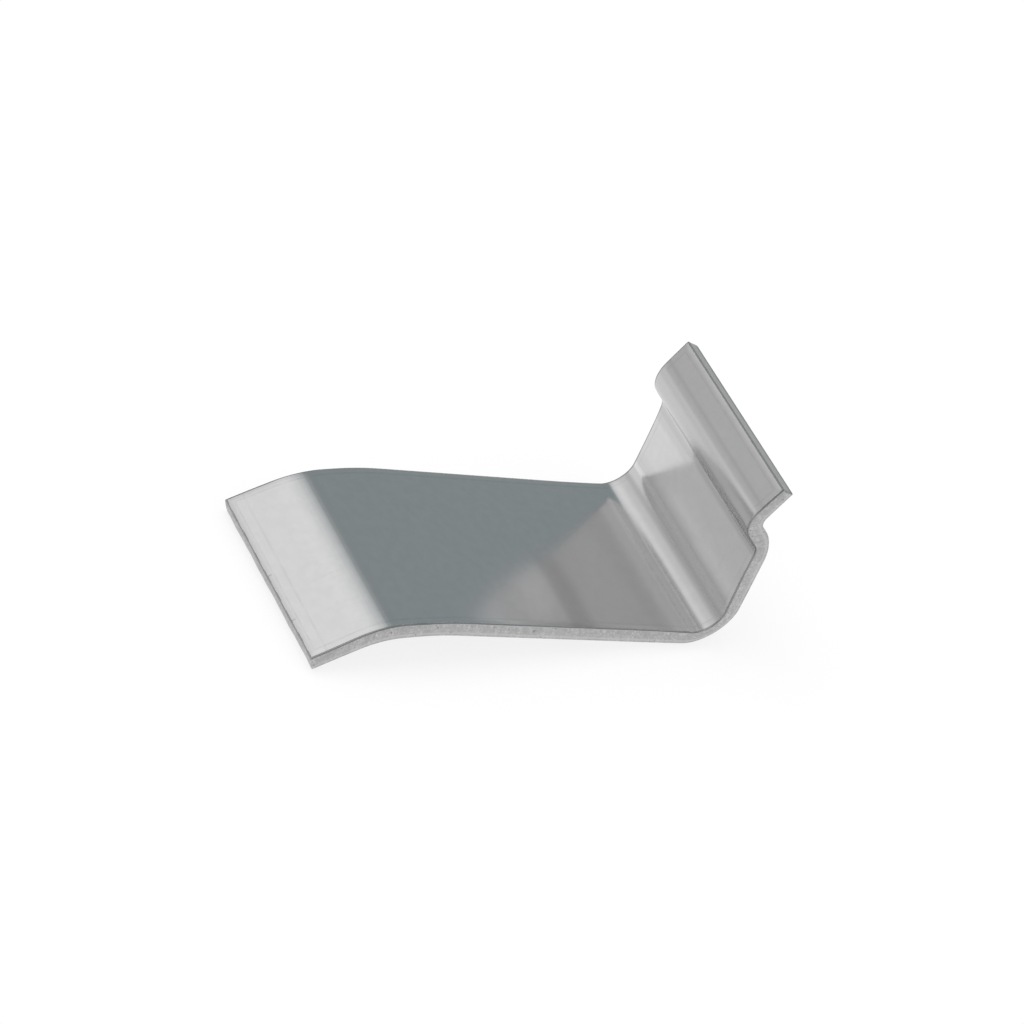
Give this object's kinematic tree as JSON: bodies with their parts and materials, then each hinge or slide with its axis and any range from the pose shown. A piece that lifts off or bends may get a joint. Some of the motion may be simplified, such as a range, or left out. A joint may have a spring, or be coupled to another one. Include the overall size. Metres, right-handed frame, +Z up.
{
  "type": "flat spring clip",
  "caption": "Flat spring clip: a strip bent into a turned-down tab, a long web, a riser and a jogged lip that snaps under a groove's edge, so the web presses a part down.",
  "frame": {"origin": "on the floor under the middle of the clip's box, as it lies at rest with its inner side up", "axes": "+X along the strip from the tab to the riser, +Y across the strip's width, +Z up, away from the floor; Y = 0 is the plane of symmetry"},
  "size_m": [0.0286, 0.0116, 0.0128],
  "materials": {
    "spring_steel": "bright rolled strip, tumbled after blanking"
  },
  "bodies": {
    "root": {"spring_clip": "spring_steel"}
  },
  "joints": []
}
